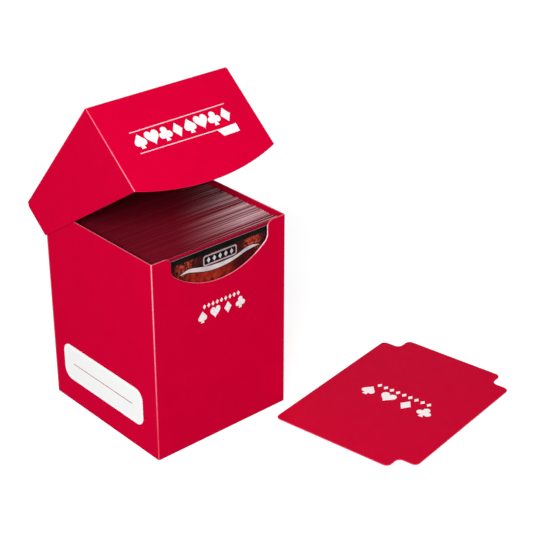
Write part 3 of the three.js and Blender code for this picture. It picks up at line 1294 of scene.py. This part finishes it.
class SleeveLayout(Nodes):
    """The node tree that stands one sleeve at each place: two films with a card between them."""

    inputs = {"Count": "Int", "Pitch": "Float", "Width": "Float", "Height": "Float",
              "Film": "Float", "Card": "Float", "Card Drop": "Float", "Jitter": "Vector",
              "First Place": "Vector", "Seed": "Int", "Material": "Material"}
    card_side = 0.003  # how much narrower a card is than its sleeve
    film_step = 0.0002  # how much lower a front film is than a back one

    def __init__(self) -> None:
        """Makes the tree and its named inputs."""
        super().__init__(bpy.data.node_groups.new("sleeved_deck", "GeometryNodeTree"))
        self.tree.interface.new_socket("Geometry", in_out="OUTPUT",
                                       socket_type="NodeSocketGeometry")
        self.names = {name: self.tree.interface.new_socket(
            name, in_out="INPUT", socket_type="NodeSocket" + kind).identifier
            for name, kind in self.inputs.items()}
        self.given = self.add("NodeGroupInput").outputs
        self.add("NodeGroupOutput", {0: self.dressed(self.stand(self.sleeve()))})

    def vector(self, x: object, y: object, z: object) -> bpy.types.NodeSocket:
        """Three values as one vector."""
        return self.add("ShaderNodeCombineXYZ", {"X": x, "Y": y, "Z": z}).outputs[0]

    def mark(self, geometry: object, name: str, value: object, domain: str
             ) -> bpy.types.NodeSocket:
        """Stores a named value on every point or instance."""
        return self.add("GeometryNodeStoreNamedAttribute", {
            "Geometry": geometry, "Name": name, "Value": value}, data_type="FLOAT",
            domain=domain).outputs[0]

    def block(self, width: object, depth: object, height: object, y: object, film: float
              ) -> bpy.types.NodeSocket:
        """A thin upright block that stands on z = 0, marked as film or card."""
        cube = self.add("GeometryNodeMeshCube", {"Size": self.vector(width, depth, height)})
        middle = self.vector(0.0, y, self.maths("MULTIPLY", height, 0.5))
        moved = self.add("GeometryNodeTransform", {"Geometry": cube.outputs["Mesh"],
                                                   "Translation": middle})
        return self.mark(moved.outputs[0], "film", film, "POINT")

    def sleeve(self) -> bpy.types.NodeSocket:
        """One sleeve at the origin."""
        given = self.given
        gap = self.maths("MULTIPLY", self.maths("ADD", given["Film"], given["Card"]), 0.5)
        lower = self.maths("SUBTRACT", given["Height"], given["Card Drop"])
        slim = self.maths("SUBTRACT", given["Width"], self.card_side)
        front = self.maths("SUBTRACT", given["Height"], self.film_step)
        # The film value sets how much painted sheen and glare a block takes: most on the front film.
        whole = self.add("GeometryNodeJoinGeometry")
        for block in (
                self.block(given["Width"], given["Film"], given["Height"], gap, 0.6),
                self.block(slim, given["Card"], lower, 0.0, 0.1),
                self.block(given["Width"], given["Film"], front,
                           self.maths("MULTIPLY", gap, -1.0), 1.0)):
            self.feed(whole.inputs[0], block)
        return whole.outputs[0]

    def stand(self, sleeve: bpy.types.NodeSocket) -> bpy.types.NodeSocket:
        """Copies of the sleeve in a row, each a little off its place and with its own tint."""
        given = self.given
        line = self.add("GeometryNodeMeshLine", {
            "Count": given["Count"], "Start Location": given["First Place"],
            "Offset": self.vector(0.0, given["Pitch"], 0.0)})
        back = self.add("ShaderNodeVectorMath", {0: given["Jitter"], "Scale": -1.0},
                        operation="SCALE")
        shift = self.add("FunctionNodeRandomValue", {
            "Min": back.outputs[0], "Max": given["Jitter"], "Seed": given["Seed"]},
            data_type="FLOAT_VECTOR")
        spread = self.add("GeometryNodeSetPosition", {
            "Geometry": line.outputs["Mesh"], "Offset": shift.outputs["Value"]})
        copies = self.add("GeometryNodeInstanceOnPoints", {
            "Points": spread.outputs[0], "Instance": sleeve})
        tint = self.add("FunctionNodeRandomValue", {2: 0.0, 3: 1.0, "Seed": given["Seed"]},
                        data_type="FLOAT")
        return self.mark(copies.outputs[0], "tint", tint.outputs[1], "INSTANCE")

    def dressed(self, copies: bpy.types.NodeSocket) -> bpy.types.NodeSocket:
        """The copies made real, with their material."""
        real = self.add("GeometryNodeRealizeInstances", {0: copies})
        return self.add("GeometryNodeSetMaterial", {
            "Geometry": real.outputs[0], "Material": self.given["Material"]}).outputs[0]


@dataclass
class SleevedDeck:
    """The sleeved cards behind the front one, which lean on the case's right side."""

    count: int = 99
    film: float = 0.11
    card: float = 0.3
    card_drop: float = 0.9
    sleeve_width: float = 68.0
    lean: float = 2.2
    clear_below: float = 0.5
    clear_above: float = 0.05
    jitter: tuple[float, float, float] = (0.35, 0.03, 0.25)
    seed: int = 7
    bundles: int = 11

    def build(self) -> None:
        """Stands the sleeves in the case and makes them one mesh."""
        nodes = [f"sleeved_cards_{i:02d}" for i in range(1, self.bundles + 1)]
        low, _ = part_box(nodes[0])
        _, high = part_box(nodes[-1])
        pitch = (high.y - low.y) / self.count
        foot = low.z + self.clear_below * METRES
        layout = SleeveLayout()
        values: dict[str, object] = {
            "Count": self.count, "Pitch": pitch, "Width": self.sleeve_width * METRES,
            "Height": high.z - self.clear_above * METRES - foot, "Film": self.film * METRES,
            "Card": self.card * METRES, "Card Drop": self.card_drop * METRES,
            "Jitter": [side * METRES for side in self.jitter], "Seed": self.seed,
            "Material": FINISHES.sleeve.material(),
            "First Place": (self.lean * METRES, low.y + pitch / 2, foot),
        }
        holder = bpy.data.objects.new("deck_layout", bpy.data.meshes.new("deck_layout"))
        bpy.context.scene.collection.objects.link(holder)
        modifier = holder.modifiers.new("sleeves", "NODES")
        modifier.node_group = layout.tree
        for name, value in values.items():
            modifier[layout.names[name]] = value
        graph = bpy.context.evaluated_depsgraph_get()
        mesh = bpy.data.meshes.new_from_object(holder.evaluated_get(graph), depsgraph=graph)
        bpy.data.objects.remove(holder)
        mesh.name = "sleeved_deck"
        piece = bpy.data.objects.new("sleeved_deck", mesh)
        bpy.context.scene.collection.objects.link(piece)
        log.info("sleeved_deck: %d faces", len(mesh.polygons))
        hand_over(piece, "deck", "sleeves", nodes)


@dataclass
class FrontCard:
    """The card that shows in the notch, in its own sleeve, with a plain printed face."""

    film: float = 0.08
    front_film: float = 0.04
    card: float = 0.3
    card_behind: float = 0.42
    thinnest_rounded: float = 0.07
    back_top: float = 96.0
    front_top: float = 94.6
    card_top: float = 94.5
    card_side: float = 2.6
    border: float = 2.7
    window: float = 26.3

    def layer(self, name: str, shapes: Sequence[Sequence[Point]], thickness: float, y: float,
              material: bpy.types.Material, slot: str = "card_face",
              replaces: Sequence[str] = ()) -> None:
        """Makes one layer of the card or its sleeve.

        Args:
            name: the piece's name.
            shapes: its outlines, x and z.
            thickness: its thickness.
            y: its front face.
            material: its finish.
            slot: the record's slot.
            replaces: the nodes it stands for.
        """
        edge = Edge.FINE if thickness > self.thinnest_rounded else Edge.SHARP
        parts = [plate(shape, thickness, edge) for shape in shapes]
        piece = make_piece(name, merged(parts), material, upright(y + thickness / 2))
        hand_over(piece, "face_card", slot, replaces)

    def ribbon(self) -> list[Point]:
        """The pale curved ribbon under the plaque: a shallow smile that tapers to its tips."""
        spine = smooth([(-21.4, 86.4, 0.15), (-17.0, 87.0, 0.8), (-11.5, 85.8, 1.05),
                        (-6.0, 84.6, 1.15), (0.0, 84.25, 1.1), (5.0, 84.45, 0.95),
                        (9.5, 85.15, 0.75), (14.0, 86.5, 0.8), (18.0, 87.1, 0.75),
                        (22.4, 86.8, 0.15)], 5)
        top = [(x, z + half) for x, z, half in reversed(spine)]
        return [(x, z - half) for x, z, half in spine] + top

    def art(self) -> list[Point]:
        """The picture below the ribbon, with an arched top that the ribbon's lower half covers."""
        stations = [(-22.0, 84.6), (-17.0, 86.4), (-11.5, 85.2), (-6.0, 84.1), (0.0, 83.7),
                    (5.0, 83.9), (9.5, 84.7), (14.0, 85.9), (18.0, 86.4), (22.5, 84.8)]
        spine = smooth([(x, z, 0.0) for x, z in stations], 5)
        return [(-22.0, 30.0), (22.5, 30.0)] + [(x, z) for x, z, _ in reversed(spine)]

    def build(self) -> None:
        """Makes the sleeve and the card inside it."""
        low, high = (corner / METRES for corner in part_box("front_card"))
        side, face = self.card_side, high.y - self.card_behind
        sleeve = rectangle(low.x, low.z, high.x, self.back_top, 0.6)
        self.layer("front_sleeve_back", [sleeve], self.film, high.y - self.film,
                   FINISHES.back_film.material(), "sleeves", ["front_card"])
        body = rectangle(low.x + side, low.z + 2.0, high.x - side, self.card_top, 3.0)
        window = rectangle(-self.window, low.z + 6.0, self.window, self.card_top - self.border, 1.0)
        plaque = rectangle(-9.0, 86.2, 9.8, 91.2, 1.3)
        pips = [pip(Pip.DIAMOND, 0.4 + x, 88.7, 2.7) for x in (-6.4, -3.2, 0.0, 3.2, 6.4)]
        for name, shapes, thickness, proud, finish in (
                ("body", [body], self.card, 0.0, FINISHES.black),
                ("frame", [window], 0.02, 0.02, FINISHES.frame_print),
                ("art", [self.art()], 0.02, 0.04, FINISHES.art),
                ("ribbon_edge", [inset(self.ribbon(), -0.36)], 0.01, 0.05, FINISHES.black),
                ("ribbon", [self.ribbon()], 0.02, 0.07, FINISHES.silver),
                ("plaque_rim", [plaque], 0.01, 0.08, FINISHES.grey),
                ("plaque", [inset(plaque, 0.7)], 0.02, 0.1, FINISHES.black),
                ("pips", pips, 0.02, 0.12, FINISHES.silver)):
            self.layer("front_card_" + name, shapes, thickness, face - proud, finish.material())
        film = rectangle(low.x, low.z, high.x, self.front_top, 0.6)
        self.layer("front_sleeve_film", [film], self.front_film, low.y,
                   FINISHES.clear.material(), "sleeves")
        # The film's top edge as a pale strip: a painted highlight.
        lip_highlight = rectangle(low.x + 0.3, self.front_top - 0.12, high.x - 0.3, self.front_top + 0.12)
        self.layer("front_sleeve_lip", [lip_highlight], self.thinnest_rounded, low.y,
                   FINISHES.lip_highlight.material(), "sleeves")


@dataclass
class CardDivider:
    """The loose divider, a sheet with a tab on two of its sides."""

    length: float = 96.6
    width: float = 72.4
    thickness: float = 0.5
    corner: Point = (23.9, -47.5)
    turn: float = 9.9
    tab_length: float = 8.3
    tab_width: float = 9.5
    radius: float = 2.7
    mark_size: Point = (38.6, 12.2)

    def matrix(self) -> Matrix:
        """From the divider's drawing to its place on the table."""
        return (Matrix.Translation((*self.corner, self.thickness / 2))
                @ Matrix.Rotation(math.radians(self.turn), 4, "Z"))

    def build(self) -> None:
        """Makes the sheet and its printed mark."""
        length, width, r = self.length, self.width, self.radius
        body_length, body_width = length - self.tab_length, width - self.tab_width
        corners = [(0.0, 0.0), (0.0, -body_width), (self.tab_length, -body_width),
                   (self.tab_length, -width), (body_length, -width), (body_length, -body_width),
                   (length, -body_width), (length, -self.tab_width),
                   (body_length, -self.tab_width), (body_length, 0.0)]
        bm = plate(rounded([(x, y, r) for x, y in corners]), self.thickness)
        piece = make_piece("divider_sheet", bm, FINISHES.divider.material(), self.matrix())
        hand_over(piece, "divider", "divider_plastic", ["card_divider"])
        mark = (self.matrix() @ Matrix.Translation((length / 2, -width / 2, self.thickness / 2))
                @ Matrix.Rotation(-math.pi / 2, 4, "Z"))
        Print("divider_mark", mark, "divider", "divider_plastic").build(
            suit_mark(*self.mark_size), FINISHES.ink.material())


# ---------------------------------------------------------------- the studio


@dataclass(frozen=True)
class SoftLight:
    """A square soft light that faces the box. Its distance and side are in metres."""

    name: str
    direction: tuple[float, float, float]
    distance: float
    side: float
    power: float
    aim: tuple[float, float, float] = (0.03, -0.02, 0.05)

    def build(self) -> None:
        """Hangs the light."""
        data = bpy.data.lights.new(self.name, "AREA")
        data.size, data.energy = self.side, self.power
        light = bpy.data.objects.new(self.name, data)
        away = Vector(self.direction).normalized()
        light.location = Vector(self.aim) + away * self.distance
        light.rotation_mode = "QUATERNION"
        light.rotation_quaternion = away.to_track_quat("Z", "Y")
        bpy.context.scene.collection.objects.link(light)


@dataclass
class Studio:
    """The floor, the soft lights and the camera."""

    lens: float = 98.2
    eye: tuple[float, float, float] = (-353.03, -466.96, 372.05)
    target: tuple[float, float, float] = (60.48, -0.18, 47.86)
    sky: float = 0.22
    floor_half: float = 12000.0
    floor_below: float = 0.15
    backdrop_radius: float = 11000.0
    lights: tuple[SoftLight, ...] = (
        SoftLight("key", (-0.86, -0.73, 0.69), 1.6, 0.7, 31.5),
        SoftLight("rear", (0.64, 0.72, 0.25), 1.8, 1.2, 12.0),
    )

    def build(self) -> None:
        """Makes the camera, the floor and the lights."""
        scene = bpy.context.scene
        scene.view_settings.view_transform = "Standard"
        data = bpy.data.cameras.new("camera")
        data.lens, data.sensor_width = self.lens, 36.0
        data.clip_start, data.clip_end = 0.05, 50.0
        camera = bpy.data.objects.new("camera", data)
        camera.location = Vector(self.eye) * METRES
        camera.rotation_mode = "QUATERNION"
        sight = (Vector(self.target) - Vector(self.eye)).normalized()
        camera.rotation_quaternion = sight.to_track_quat("-Z", "Y")
        scene.collection.objects.link(camera)
        scene.camera = camera
        world = bpy.data.worlds.new("studio")
        world.use_nodes = True
        sky = world.node_tree.nodes["Background"].inputs
        sky["Color"].default_value = (1, 1, 1, 1)
        sky["Strength"].default_value = self.sky
        scene.world = world
        bm = bmesh.new()
        bmesh.ops.create_grid(bm, x_segments=2, y_segments=2, size=self.floor_half)
        floor = make_piece("studio_floor", bm, FloorFinish().material(),
                           Matrix.Translation((0, 0, -self.floor_below)))
        bm = bmesh.new()
        bmesh.ops.create_uvsphere(bm, u_segments=48, v_segments=24,
                                  radius=self.backdrop_radius)
        bmesh.ops.reverse_faces(bm, faces=bm.faces[:])
        backdrop = make_piece("studio_backdrop", bm, FloorFinish("studio_backdrop", 1.0).material())
        for part in (floor, backdrop):
            part.visible_diffuse = part.visible_glossy = part.visible_shadow = False
        for light in self.lights:
            light.build()


def main() -> None:
    """Builds every piece in order."""
    logging.basicConfig(level=logging.INFO, format="%(name)s %(message)s")
    Studio().build()
    walls = CaseWalls()
    walls.build()
    CaseLinings().build()
    WriteOnLabel().build()
    walls.build_print()
    Lid().build()
    SleevedDeck().build()
    FrontCard().build()
    CardDivider().build()


if __name__ == "__main__":
    main()
